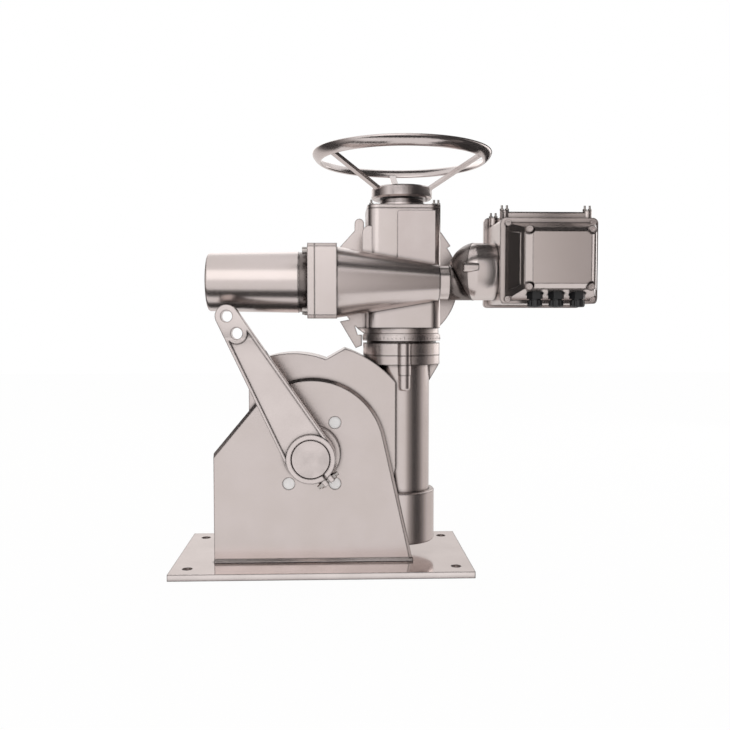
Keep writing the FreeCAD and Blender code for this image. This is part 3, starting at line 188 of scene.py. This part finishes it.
# painted shade: a dark copy of the silver paint for the pieces that stand in for shade
paintedShadeEnamel = metallicCoat("darkEnamelPaintedShade", "#7d7471", "#6f6764", 0.28, mm(0.5))
zincSteel = turnedSteel("zincPlatedSteel", "#b9b2ae", 0.3)
groundSteel = turnedSteel("groundCarbonSteel", "#d6cbc8", 0.26, mm(0.9))
tinBronze = turnedSteel("tinBronzeHobbed", "#b98a4e", 0.32)
brushedAluminium = metallicCoat("brushedAluminiumSheet", "#cfc4c1", "#c8bcb9", 0.24, mm(0.8))
blackPolyamide = mouldedPolymer("blackPolyamideMoulded", "#1d1e20", 0.38, 1.53)
whitePolyethylene = mouldedPolymer("whitePolyethyleneMoulded", "#ffffff", 0.2, 1.52, 0.98)
nitrileRubber = mouldedPolymer("nitrileRubberMoulded", "#17171a", 0.6, 1.52)
greenLaminate = mouldedPolymer("glassEpoxyLaminate", "#1c5a38", 0.4, 1.55)

finishes = [
    (footEnamel, ["foot_plate"]),
    (silverEnamel, ["stand_front_plate", "stand_rear_plate", "gear_case", "case_cover", "worm_tube_cap",
                    "adapter_flange", "spacer_ring", "main_housing", "drum_cover", "top_cover",
                    "motor_can", "motor_flange", "drive_housing", "control_tube", "control_body",
                    "control_top_cover", "control_hood", "control_front_cover", "control_rear_plate",
                    "adapter_studs", "tube_lock_pin"]),
    (leverEnamel, ["output_lever"]),
    (handwheelEnamel, ["handwheel_rim", "handwheel_spokes", "handwheel_hub", "hand_shaft_cap"]),
    (zincSteel, ["case_cover_screws", "stand_bolts", "lever_clamp_bolt", "lever_clamp_nut", "worm_bearings",
                 "drum_cover_screws", "cover_studs", "sleeve_bearings", "motor_screws", "motor_stator",
                 "motor_rotor", "rotor_bearings", "board_stand_offs", "handwheel_nut"]),
    (groundSteel, ["output_shaft", "shaft_keys", "worm_shaft", "index_ring", "drive_sleeve", "drive_worm",
                   "handwheel_shaft", "control_screws"]),
    (tinBronze, ["worm_sector", "drive_wheel", "shaft_bushes"]),
    (brushedAluminium, ["name_plate"]),
    (blackPolyamide, ["gland_bodies", "gland_nuts", "terminal_strip"]),
    (whitePolyethylene, ["hole_plugs"]),
    (nitrileRubber, ["case_gasket", "shaft_seal"]),
    (greenLaminate, ["circuit_board"]),
]
for material, names in finishes:
    for name in names:
        slots = nodes[name].material_slots
        if not slots:
            nodes[name].data.materials.append(material)
        for slot in slots:
            slot.material = material
print("finishes assigned")


# Detail pieces

def newPiece(name, mesh, material, body):
    piece = bpy.data.objects.new(name, mesh)
    bpy.context.scene.collection.objects.link(piece)
    mesh.materials.append(material)
    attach(piece, body)
    return piece


def meshFrom(name, work, smooth=False):
    bmesh.ops.recalc_face_normals(work, faces=work.faces)
    for face in work.faces:
        face.smooth = smooth
    mesh = bpy.data.meshes.new(name)
    work.to_mesh(mesh)
    work.free()
    return mesh


def addBlock(work, centre, size, turn):
    place = Matrix.Translation(centre) @ Matrix.Rotation(turn, 4, "Z") @ Matrix.Diagonal((*size, 1.0))
    bmesh.ops.create_cube(work, size=1.0, matrix=place)


def addLathe(work, loops, centre, steps, axis, flute=0.0, flutes=0):
    # closed ring of faces swept round an axis; loops are (along, radius, fluted) in order round the section
    rings = []
    for along, radius, fluted in loops:
        ringVerts = []
        for i in range(steps):
            turn = math.tau * i / steps
            r = radius - (flute * (0.5 - 0.5 * math.cos(turn * flutes)) if fluted else 0.0)
            a, b = r * math.cos(turn), r * math.sin(turn)
            spot = (a, b, along) if axis == "Z" else (along, a, b)
            ringVerts.append(work.verts.new(Vector(centre) + Vector(spot)))
        rings.append(ringVerts)
    for now, after in zip(rings, rings[1:] + rings[:1]):
        for i in range(steps):
            j = (i + 1) % steps
            work.faces.new((now[i], now[j], after[j], after[i]))


indexMarks = {"count": 60, "longEvery": 5, "wide": mm(0.8), "short": mm(2.6), "long": mm(5.2),
              "proud": mm(0.35), "low": mm(3.0)}


def makeIndexMarks():
    # short raised strokes round the bright ring, each fifth one longer
    low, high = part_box("index_ring")
    centre = (low + high) / 2
    radius = (high.x - low.x) / 2
    work = bmesh.new()
    for i in range(indexMarks["count"]):
        turn = math.tau * i / indexMarks["count"]
        tall = indexMarks["long"] if i % indexMarks["longEvery"] == 0 else indexMarks["short"]
        spot = Vector((centre.x + radius * math.cos(turn), centre.y + radius * math.sin(turn),
                       low.z + indexMarks["low"] + tall / 2))
        addBlock(work, spot, (2 * indexMarks["proud"], indexMarks["wide"], tall), turn)
    newPiece("index_marks", meshFrom("indexMarks", work), blackPolyamide, "stand")


neckShadeBand = {"sunk": mm(0.9), "inset": mm(1.2), "long": mm(15.0), "round": mm(1.0), "drop": mm(0.4),
            "wall": mm(0.6), "steps": 96}


def makeNeckShadeBand():
    # painted shade: a dark sleeve round the motor's neck, beside its flange, stands in for the shade and dark
    # reflection in that hollow
    low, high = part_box("motor_can")
    middle = (low + high) / 2
    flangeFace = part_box("motor_flange")[0].x
    radius = (high.z - low.z) / 2 - neckShadeBand["sunk"]
    start = flangeFace - neckShadeBand["long"]
    end = flangeFace - neckShadeBand["inset"]
    work = bmesh.new()
    edge, drop, wall = neckShadeBand["round"], neckShadeBand["drop"], neckShadeBand["wall"]
    section = [(start, radius - drop), (start + edge, radius), (end - edge, radius), (end, radius - drop),
               (end, radius - wall), (start, radius - wall)]
    loops = [(x, r, False) for x, r in section]
    addLathe(work, loops, (0, middle.y, middle.z), neckShadeBand["steps"], "X")
    newPiece("motor_neck_shade_sleeve", meshFrom("motorNeckShadeSleeve", work, True), paintedShadeEnamel, "stand")


glandNut = {"count": 3, "flutes": 12, "flute": mm(0.9), "steps": 96, "bore": mm(6.0), "round": mm(3.0),
            "bend": 0.3, "topDrop": mm(1.0), "shoulder": mm(0.8)}


def makeGlandNuts():
    # fluted cap nuts with a rounded lower end and an open bore for the cable
    low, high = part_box("gland_nuts")
    radius = (high.y - low.y) / 2
    middleY = (low.y + high.y) / 2
    pitch = (high.x - low.x - 2 * radius) / (glandNut["count"] - 1)
    curve, bend, bore = glandNut["round"], glandNut["bend"], glandNut["bore"]
    section = [(high.z, bore, False), (high.z, radius - glandNut["topDrop"], False),
               (high.z - glandNut["shoulder"], radius, True), (low.z + curve, radius, True),
               (low.z + bend * curve, radius - bend * curve, True), (low.z, radius - curve, False),
               (low.z, bore, False)]
    work = bmesh.new()
    for i in range(glandNut["count"]):
        addLathe(work, section, (low.x + radius + i * pitch, middleY, 0), glandNut["steps"], "Z",
                 glandNut["flute"], glandNut["flutes"])
    piece = newPiece("gland_cap_nuts", meshFrom("glandCapNuts", work), blackPolyamide, "stand")
    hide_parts("gland_nuts")


hoodPanel = {
    "proud": mm(1.6), "slope": mm(2.8), "sunk": mm(0.5), "lift": mm(0.1),
    "nearShare": 0.16, "farShare": 0.84, "sideShare": 0.1,      # where the field starts and ends on its cheek
    "base": mm(8.0), "baseRight": mm(4.0), "lowInset": mm(6.0), "highInset": mm(7.0),
    "flangeDepth": mm(6.0), "coverInset": mm(1.0),
}


def makeHoodPanels():
    # raised fields on the two slanted cheeks of the hood
    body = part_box("control_body")
    flange = body[0].y - hoodPanel["flangeDepth"]
    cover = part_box("control_front_cover")
    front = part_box("control_hood")[0].y
    inset = Vector((hoodPanel["coverInset"], 0, hoodPanel["coverInset"]))
    coverLow, coverHigh = cover[0] + inset, cover[1] - inset
    work = bmesh.new()
    for sign in (-1, 1):
        backX = body[0].x + hoodPanel["base"] if sign < 0 else body[1].x - hoodPanel["baseRight"]
        frontX = coverLow.x if sign < 0 else coverHigh.x
        backLow, backHigh = body[0].z + hoodPanel["lowInset"], body[1].z - hoodPanel["highInset"]
        outward = Vector((sign * abs(front - flange), -abs(frontX - backX), 0)).normalized()

        def cheek(along, up):
            x = backX + (frontX - backX) * along
            y = flange + (front - flange) * along
            bottom = backLow + (coverLow.z - backLow) * along
            top = backHigh + (coverHigh.z - backHigh) * along
            return Vector((x, y, bottom + (top - bottom) * up))

        near, far, side = hoodPanel["nearShare"], hoodPanel["farShare"], hoodPanel["sideShare"]
        spots = [cheek(near, side), cheek(far, side), cheek(far, 1 - side), cheek(near, 1 - side)]
        middle = sum(spots, Vector()) / 4
        base = [work.verts.new(p - outward * hoodPanel["sunk"]) for p in spots]
        foot = [work.verts.new(p + outward * hoodPanel["lift"]) for p in spots]
        crown = [work.verts.new(p + (middle - p).normalized() * hoodPanel["slope"]
                                + outward * hoodPanel["proud"]) for p in spots]
        work.faces.new(base)
        work.faces.new(crown)
        for lower, upper in ((base, foot), (foot, crown)):
            for i in range(4):
                j = (i + 1) % 4
                work.faces.new((lower[i], lower[j], upper[j], upper[i]))
    newPiece("hood_cheek_panels", meshFrom("hoodCheekPanels", work), silverEnamel, "stand")


tubeShadeCuff = {"reach": mm(256.8), "tiltDeg": 21.7, "proud": mm(0.5), "thick": mm(0.4), "inner": mm(20.0),
            "leastOutward": 0.15}


def makeTubeShadeCuff():
    # painted shade: a dark skin over the swivel joint of the box's arm, cut off along a slanted plane, stands
    # in for the shade on that side of the joint
    low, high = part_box("control_tube")
    motorLow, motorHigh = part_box("motor_can")
    axisY = motorLow.y / 2 + motorHigh.y / 2
    axisZ = (low.z + high.z) / 2
    work = bmesh.new()
    work.from_mesh(nodes["control_tube"].data)
    front = Vector((tubeShadeCuff["reach"], low.y, axisZ))
    slant = Vector((1.0, -math.tan(math.radians(tubeShadeCuff["tiltDeg"])), 0.0)).normalized()
    everything = work.verts[:] + work.edges[:] + work.faces[:]
    bmesh.ops.bisect_plane(work, geom=everything, plane_co=front, plane_no=slant, clear_outer=True)
    inside = []
    for face in work.faces:
        middle = face.calc_center_median()
        outward = Vector((0.0, middle.y - axisY, middle.z - axisZ))
        share = face.normal.dot(outward.normalized())       # 1 where the face looks straight out
        if outward.length < tubeShadeCuff["inner"] or share < tubeShadeCuff["leastOutward"]:
            inside.append(face)
    bmesh.ops.delete(work, geom=inside, context="FACES")
    for vert in work.verts:
        outward = Vector((0.0, vert.co.y - axisY, vert.co.z - axisZ)).normalized()
        vert.co += outward * tubeShadeCuff["proud"]
    piece = newPiece("tube_joint_shade_cuff", meshFrom("tubeShadeCuff", work, True), paintedShadeEnamel, "stand")
    shell = piece.modifiers.new("shell", "SOLIDIFY")
    shell.thickness = tubeShadeCuff["thick"]
    shell.offset = -1.0


topRail = {"radius": mm(6.0), "inset": mm(7.5), "sideInset": mm(8.0), "steps": 24, "above": mm(8.0)}


def makeTopRails():
    # rounded rails along the front and back of the box's top cover, between its corner posts
    low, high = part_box("control_top_cover")
    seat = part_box("control_body")[1].z + topRail["above"]
    work = bmesh.new()
    for y in (low.y + topRail["sideInset"], high.y - topRail["sideInset"]):
        start, end = low.x + topRail["inset"], high.x - topRail["inset"]
        rings = []
        for x in (start, end):
            ringVerts = []
            for i in range(topRail["steps"] + 1):
                turn = math.pi * i / topRail["steps"]
                ringVerts.append(work.verts.new((x, y + topRail["radius"] * math.cos(turn),
                                                 seat + topRail["radius"] * math.sin(turn))))
            rings.append(ringVerts)
        for i in range(topRail["steps"]):
            work.faces.new((rings[0][i], rings[0][i + 1], rings[1][i + 1], rings[1][i]))
        work.faces.new((rings[0][0], rings[0][-1], rings[1][-1], rings[1][0]))
        for ringVerts in rings:
            work.faces.new(ringVerts)
    newPiece("top_cover_rails", meshFrom("topCoverRails", work), silverEnamel, "stand")


makeIndexMarks()
makeNeckShadeBand()
makeGlandNuts()
makeHoodPanels()
makeTopRails()
makeTubeShadeCuff()
print("detail pieces made")


# Studio

studio = {
    "floorSize": 12.0,
    "floorHex": "#f4f2f1",
    "whiteShare": 0.965,            # part of the floor that shows plain white, the rest keeps the shadow
    "worldHex": "#f2f0ef",
    "worldStrength": 0.95,
    "lampSize": 1.6,
    "aimAt": (0.1, 0.0, 0.4),
    # name, power, place
    "lamps": [("keyLamp", 5.8, (-0.6, -2.2, 1.55)), ("fillLamp", 7.0, (2.0, 1.4, 1.0)),
              ("backLamp", 5.0, (-0.4, 2.2, 1.8))],
}

# flags that only reflections see: they draw the dark bands on the round parts
flags = {
    "clothHex": "#161415",
    "wallCentre": (0.15, -0.05), "wallRadius": 3.0, "wallSteps": 48, "wallLow": -1.9, "wallHigh": 2.6,
    # tone of the wall, by degrees from straight ahead towards +X
    "wallStops": [(-172, "#f2eeec"), (-140, "#e4e0de"), (-124, "#2c292a"), (-98, "#2c292a"), (-78, "#a8a3a1"),
                  (-58, "#ffffff"), (10, "#ffffff"), (16, "#f6f3f1"), (20, "#b9b4b2"), (34, "#7c7776"),
                  (45, "#262324"), (60, "#262324"), (76, "#7c7776"), (98, "#e4e0de"), (172, "#e4e0de")],
    # cards that lie flat: name, left, right, front, back, height
    "flat": [("underMotorFlag", -0.5, 0.05, -0.262, -0.165, 0.43),
             ("overCaseFlag", -0.5, 0.05, -0.115, -0.05, 0.41),
             ("underWheelFlag", -0.05, 0.36, -0.3, -0.2, 0.742),
             ("boxTopFlag", 0.3, 0.49, -0.155, 0.0, 0.7),
             ("topFlag", 0.34, 1.3, -0.9, 0.5, 1.5),
             ("wheelTopFlag", -0.05, 0.34, 0.05, 0.5, 1.5)],
    # cards that stand upright from front to back: name, side, front, back, low, high
    "upright": [("cheekFlag", 0.311, -0.206, -0.141, 0.45, 0.66),
                ("rimFlagLow", 0.46, -0.45, 0.5, 0.67, 0.765),
                ("rimFlagHigh", 0.46, -0.45, 0.5, 0.802, 0.98)],
}


def lightPathSum(tree):
    # 1 for what the camera, a reflection or glass sees, 0 for light on the object
    rays = addNode(tree, "ShaderNodeLightPath")
    first = addNode(tree, "ShaderNodeMath", {"operation": "MAXIMUM"},
                    {0: rays.outputs["Is Camera Ray"], 1: rays.outputs["Is Glossy Ray"]})
    return addNode(tree, "ShaderNodeMath", {"operation": "MAXIMUM"},
                   {0: first.outputs[0], 1: rays.outputs["Is Transmission Ray"]})


def makeWorld():
    world = bpy.data.worlds.new("studioWorld")
    bpy.context.scene.world = world
    world.use_nodes = True
    tree = world.node_tree
    tree.nodes.clear()
    output = addNode(tree, "ShaderNodeOutputWorld")
    soft = addNode(tree, "ShaderNodeBackground", {"Color": linear(studio["worldHex"]),
                                                  "Strength": studio["worldStrength"]})
    white = addNode(tree, "ShaderNodeBackground", {"Color": linear("#ffffff"), "Strength": 1.0})
    seen = lightPathSum(tree)
    mixed = addNode(tree, "ShaderNodeMixShader",
                    links={0: seen.outputs[0], 1: soft.outputs[0], 2: white.outputs[0]})
    tree.links.new(mixed.outputs[0], output.inputs["Surface"])


def floorMaterial():
    # matt studio paper that shows nearly white and still takes the object's shadow
    material, tree, output = newMaterial("paleStudioFloor")
    lit = addNode(tree, "ShaderNodeBsdfDiffuse", {"Color": linear(studio["floorHex"])})
    white = addNode(tree, "ShaderNodeEmission", {"Color": linear("#ffffff"), "Strength": 1.0})
    seen = lightPathSum(tree)
    share = addNode(tree, "ShaderNodeMath", {"operation": "MULTIPLY", 1: studio["whiteShare"]},
                    {0: seen.outputs[0]})
    mixed = addNode(tree, "ShaderNodeMixShader",
                    links={0: share.outputs[0], 1: lit.outputs[0], 2: white.outputs[0]})
    tree.links.new(mixed.outputs[0], output.inputs["Surface"])
    return material


def wallCloth():
    # cloth whose tone changes round the object
    material, tree, output = newMaterial("sideWallCloth")
    place = addNode(tree, "ShaderNodeTexCoord")
    parts = addNode(tree, "ShaderNodeSeparateXYZ", links={0: place.outputs["Object"]})
    across = addNode(tree, "ShaderNodeMath", {"operation": "SUBTRACT", 1: flags["wallCentre"][0]},
                     {0: parts.outputs["X"]})
    ahead = addNode(tree, "ShaderNodeMath", {"operation": "SUBTRACT", 0: flags["wallCentre"][1]},
                    {1: parts.outputs["Y"]})
    turn = addNode(tree, "ShaderNodeMath", {"operation": "ARCTAN2"},
                   {0: across.outputs[0], 1: ahead.outputs[0]})
    share = addNode(tree, "ShaderNodeMapRange", {"From Min": -math.pi, "From Max": math.pi},
                    {"Value": turn.outputs[0]})
    tone = addNode(tree, "ShaderNodeValToRGB", links={"Fac": share.outputs["Result"]})
    setRamp(tone, [((deg + 180) / 360, linear(colour)) for deg, colour in flags["wallStops"]])
    glow = addNode(tree, "ShaderNodeEmission", {"Strength": 1.0}, {"Color": tone.outputs["Color"]})
    tree.links.new(glow.outputs[0], output.inputs["Surface"])
    return material


def blackCloth():
    material, tree, output = newMaterial("blackFlagCloth")
    matt = addNode(tree, "ShaderNodeBsdfDiffuse", {"Color": linear(flags["clothHex"])})
    tree.links.new(matt.outputs[0], output.inputs["Surface"])
    return material


def makeCard(name, corners, material, faces=((0, 1, 2, 3),)):
    mesh = bpy.data.meshes.new(name)
    mesh.from_pydata(corners, [], faces)
    card = bpy.data.objects.new(name, mesh)
    bpy.context.scene.collection.objects.link(card)
    mesh.materials.append(material)
    return card


def makeFlag(name, corners, material, faces=((0, 1, 2, 3),)):
    flag = makeCard(name, corners, material, faces)
    flag.visible_camera = False
    flag.visible_diffuse = False
    flag.visible_shadow = False
    flag.visible_transmission = False


def makeFloor():
    half = studio["floorSize"] / 2
    corners = [(-half, -half, 0), (half, -half, 0), (half, half, 0), (-half, half, 0)]
    floor = makeCard("studioFloor", corners, floorMaterial())
    floor.visible_glossy = False      # reflections look past it to the white world and the dark bands


def makeWall():
    centre, steps = flags["wallCentre"], flags["wallSteps"]
    corners = []
    for i in range(steps):
        turn = math.tau * i / steps
        x = centre[0] + flags["wallRadius"] * math.sin(turn)
        y = centre[1] - flags["wallRadius"] * math.cos(turn)
        corners += [(x, y, flags["wallLow"]), (x, y, flags["wallHigh"])]
    count = 2 * steps
    faces = [(2 * i, (2 * i + 2) % count, (2 * i + 3) % count, 2 * i + 1) for i in range(steps)]
    makeFlag("sideWall", corners, wallCloth(), faces)


def makeFlags():
    cloth = blackCloth()
    for name, left, right, front, back, height in flags["flat"]:
        makeFlag(name, [(left, front, height), (right, front, height),
                        (right, back, height), (left, back, height)], cloth)
    for name, side, front, back, low, high in flags["upright"]:
        makeFlag(name, [(side, front, low), (side, back, low),
                        (side, back, high), (side, front, high)], cloth)


def makeLamp(name, power, at):
    data = bpy.data.lights.new(name, "AREA")
    data.energy = power
    data.size = studio["lampSize"]
    lamp = bpy.data.objects.new(name, data)
    bpy.context.scene.collection.objects.link(lamp)
    lamp.location = at
    lamp.rotation_euler = (Vector(studio["aimAt"]) - Vector(at)).to_track_quat("-Z", "Y").to_euler()


makeWorld()
makeFloor()
makeWall()
makeFlags()
for lamp in studio["lamps"]:
    makeLamp(*lamp)
print("studio made")


# Camera

cameraSet = {"at": (0.0237, -1.578, 0.456), "yawDeg": 2.1, "pitchDeg": 2.88, "lens": 40.19, "sensor": 36.0}


def makeCamera():
    data = bpy.data.cameras.new("photoCamera")
    data.sensor_width = cameraSet["sensor"]
    data.lens = cameraSet["lens"]
    camera = bpy.data.objects.new("photoCamera", data)
    bpy.context.scene.collection.objects.link(camera)
    yaw = math.radians(cameraSet["yawDeg"])
    pitch = math.radians(cameraSet["pitchDeg"])
    look = Vector((math.sin(yaw) * math.cos(pitch), math.cos(yaw) * math.cos(pitch), -math.sin(pitch)))
    camera.location = cameraSet["at"]
    camera.rotation_euler = look.to_track_quat("-Z", "Y").to_euler()
    bpy.context.scene.camera = camera


makeCamera()
bpy.context.scene.view_settings.view_transform = "Standard"

print("scene ready")
